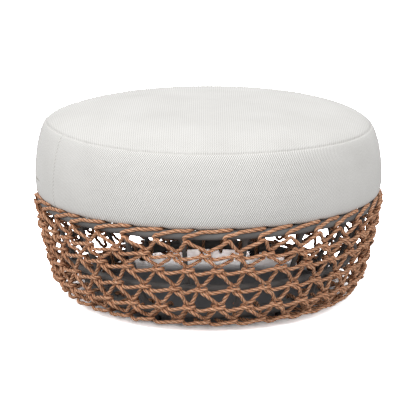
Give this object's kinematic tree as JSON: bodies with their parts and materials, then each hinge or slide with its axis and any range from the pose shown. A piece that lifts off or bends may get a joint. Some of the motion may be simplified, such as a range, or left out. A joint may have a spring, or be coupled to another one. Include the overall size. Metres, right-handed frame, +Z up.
{
  "type": "outdoor ottoman footstool",
  "caption": "Round outdoor ottoman footstool with a boxed cushion on a tubular frame wrapped in a knotted rope basket.",
  "frame": {"origin": "on the floor under the middle of the stool", "axes": "+Z up, -Y towards the front, +X to the right"},
  "size_m": [0.8016, 0.8016, 0.4408],
  "materials": {
    "frame": "satin powder coat, warm grey",
    "deck": "powder coat, warm grey",
    "glide": "matte black",
    "rope": "twisted terracotta cord, fibrous",
    "foam": "open-cell cushion foam",
    "cover_fabric": "off-white basket weave",
    "zip_coil": "off-white coil and tape",
    "zip_metal": "satin"
  },
  "bodies": {
    "root": {"top_ring": "frame", "middle_ring": "frame", "bottom_ring": "frame", "upright_01": "frame", "upright_02": "frame", "upright_03": "frame", "upright_04": "frame", "upright_05": "frame", "upright_06": "frame", "upright_07": "frame", "upright_08": "frame", "upright_09": "frame", "upright_10": "frame", "upright_11": "frame", "upright_12": "frame", "upright_13": "frame", "upright_14": "frame", "upright_15": "frame", "upright_16": "frame", "upright_17": "frame", "upright_18": "frame", "deck_slat_1": "deck", "deck_slat_2": "deck", "deck_slat_3": "deck", "deck_slat_4": "deck", "deck_slat_5": "deck", "deck_slat_6": "deck", "deck_slat_7": "deck", "glide_1": "glide", "glide_2": "glide", "glide_3": "glide", "glide_4": "glide", "glide_5": "glide", "glide_6": "glide", "rope_row_1": "rope", "rope_row_2": "rope", "rope_row_3": "rope", "rope_row_4": "rope", "rope_row_5": "rope", "rope_row_6": "rope", "rope_zigzag_1": "rope", "rope_zigzag_2": "rope", "rope_zigzag_3": "rope", "rope_zigzag_4": "rope", "rope_zigzag_5": "rope", "rope_foot_lashing": "rope"},
    "cushion": {"foam_core": "foam", "cover_top_panel": "cover_fabric", "cover_front_boxing": "cover_fabric", "cover_zip_panel_upper": "cover_fabric", "cover_zip_panel_lower": "cover_fabric", "cover_bottom_panel": "cover_fabric", "zip_chain": "zip_coil"},
    "slider": {"zip_slider": "zip_metal"},
    "pull": {"zip_pull": "zip_metal"}
  },
  "joints": [
    {"name": "cushion_lift", "type": "slide", "parent": "root", "child": "cushion", "axis": [0, 0, 1], "range_m": [0, 0.25]},
    {"name": "zip_slider_travel", "type": "hinge", "parent": "cushion", "child": "slider", "pos_m": [0, 0, 0.2848], "axis": [0, 0, 1], "range_deg": [0, 158]},
    {"name": "zip_pull_flop", "type": "hinge", "parent": "slider", "child": "pull", "pos_m": [0.31877, 0.24905, 0.2848], "axis": [0.6157, -0.788, 0], "range_deg": [0, 150]}
  ]
}
